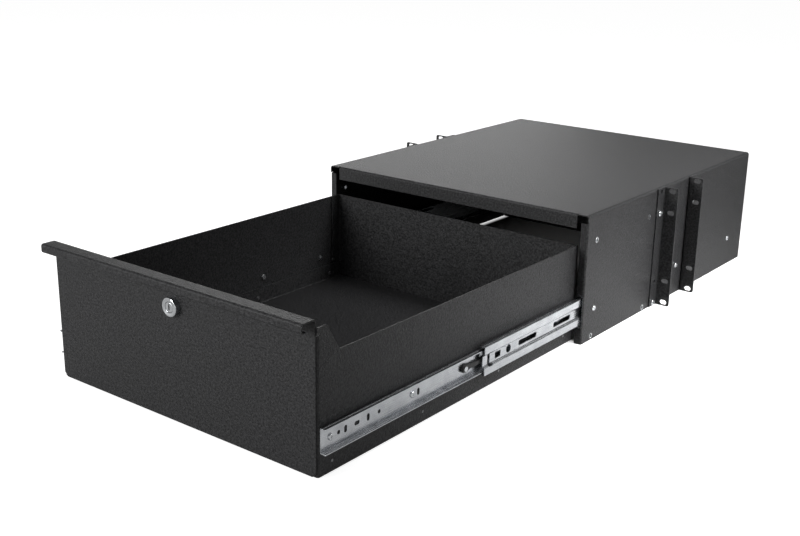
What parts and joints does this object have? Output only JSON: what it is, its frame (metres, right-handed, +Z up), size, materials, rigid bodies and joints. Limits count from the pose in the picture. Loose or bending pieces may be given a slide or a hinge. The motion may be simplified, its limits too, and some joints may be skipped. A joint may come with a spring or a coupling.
{
  "type": "sliding rack drawer",
  "caption": "Lockable equipment drawer that slides out of a folded-steel rack enclosure on full-extension ball-bearing slides, with movable rack ears.",
  "frame": {"origin": "middle of the enclosure's front edge at the height of its underside, which is the bottom centre of the open assembly", "axes": "+X to the right seen from the front, +Y to the rear along the drawer's travel, +Z up"},
  "size_m": [0.4826, 1.042, 0.176],
  "materials": {
    "black_powder_coat": "satin, fine texture",
    "black_rivet": "satin",
    "zinc_plate": "bright zinc",
    "zinc_fastener": "bright zinc",
    "ball_steel": "polished",
    "chrome": "polished",
    "black_plastic": "matt"
  },
  "bodies": {
    "enclosure": {"enclosure_shell": "black_powder_coat", "enclosure_rear_panel": "black_powder_coat", "left_cabinet_member": "zinc_plate", "left_cabinet_member_screws": "zinc_fastener", "left_front_rack_ear": "black_powder_coat", "left_rear_rack_ear": "black_powder_coat", "left_rack_ear_screws": "zinc_fastener", "left_rivet_nuts": "zinc_fastener", "right_cabinet_member": "zinc_plate", "right_cabinet_member_screws": "zinc_fastener", "right_front_rack_ear": "black_powder_coat", "right_rear_rack_ear": "black_powder_coat", "right_rack_ear_screws": "zinc_fastener", "right_rivet_nuts": "zinc_fastener"},
    "drawer": {"drawer_front": "black_powder_coat", "drawer_floor": "black_powder_coat", "drawer_rear_wall": "black_powder_coat", "rear_wall_rivets": "black_rivet", "lock_housing": "chrome", "lock_nut": "zinc_plate", "left_drawer_side": "black_powder_coat", "left_floor_rivets": "black_rivet", "left_drawer_member": "zinc_plate", "left_drawer_member_screws": "zinc_fastener", "left_drawer_member_nuts": "zinc_fastener", "left_lever_pivot": "zinc_fastener", "right_drawer_side": "black_powder_coat", "right_floor_rivets": "black_rivet", "right_drawer_member": "zinc_plate", "right_drawer_member_screws": "zinc_fastener", "right_drawer_member_nuts": "zinc_fastener", "right_lever_pivot": "zinc_fastener"},
    "lock": {"lock_plug": "chrome", "lock_cam": "zinc_plate", "lock_cam_screw": "zinc_plate"},
    "left_middle": {"left_middle_member": "zinc_plate"},
    "left_outer_cage": {"left_outer_ball_cage": "zinc_plate", "left_outer_balls": "ball_steel"},
    "left_inner_cage": {"left_inner_ball_cage": "zinc_plate", "left_inner_balls": "ball_steel"},
    "left_lever": {"left_release_lever": "black_plastic"},
    "right_middle": {"right_middle_member": "zinc_plate"},
    "right_outer_cage": {"right_outer_ball_cage": "zinc_plate", "right_outer_balls": "ball_steel"},
    "right_inner_cage": {"right_inner_ball_cage": "zinc_plate", "right_inner_balls": "ball_steel"},
    "right_lever": {"right_release_lever": "black_plastic"}
  },
  "joints": [
    {"name": "drawer_slide", "type": "slide", "parent": "enclosure", "child": "drawer", "axis": [0, 1, 0], "range_m": [0, 0.5]},
    {"name": "left_middle_slide", "type": "slide", "parent": "enclosure", "child": "left_middle", "axis": [0, 1, 0], "range_m": [0, 0.25]},
    {"name": "left_outer_cage_slide", "type": "slide", "parent": "enclosure", "child": "left_outer_cage", "axis": [0, 1, 0], "range_m": [0, 0.125]},
    {"name": "left_inner_cage_slide", "type": "slide", "parent": "enclosure", "child": "left_inner_cage", "axis": [0, 1, 0], "range_m": [0, 0.375]},
    {"name": "left_lever_turn", "type": "hinge", "parent": "drawer", "child": "left_lever", "pos_m": [-0.2079, -0.253, 0.0445], "axis": [1, 0, 0], "range_deg": [-5, 5]},
    {"name": "right_middle_slide", "type": "slide", "parent": "enclosure", "child": "right_middle", "axis": [0, 1, 0], "range_m": [0, 0.25]},
    {"name": "right_outer_cage_slide", "type": "slide", "parent": "enclosure", "child": "right_outer_cage", "axis": [0, 1, 0], "range_m": [0, 0.125]},
    {"name": "right_inner_cage_slide", "type": "slide", "parent": "enclosure", "child": "right_inner_cage", "axis": [0, 1, 0], "range_m": [0, 0.375]},
    {"name": "right_lever_turn", "type": "hinge", "parent": "drawer", "child": "right_lever", "pos_m": [0.2079, -0.253, 0.0445], "axis": [1, 0, 0], "range_deg": [-5, 5]},
    {"name": "lock_turn", "type": "hinge", "parent": "drawer", "child": "lock", "pos_m": [0, -0.5085, 0.1405], "axis": [0, 1, 0], "range_deg": [0, 90]}
  ],
  "couplings": [
    {"joint": "left_middle_slide", "follows": "drawer_slide", "ratio": 0.5},
    {"joint": "left_outer_cage_slide", "follows": "drawer_slide", "ratio": 0.25},
    {"joint": "left_inner_cage_slide", "follows": "drawer_slide", "ratio": 0.75},
    {"joint": "right_middle_slide", "follows": "drawer_slide", "ratio": 0.5},
    {"joint": "right_outer_cage_slide", "follows": "drawer_slide", "ratio": 0.25},
    {"joint": "right_inner_cage_slide", "follows": "drawer_slide", "ratio": 0.75}
  ]
}
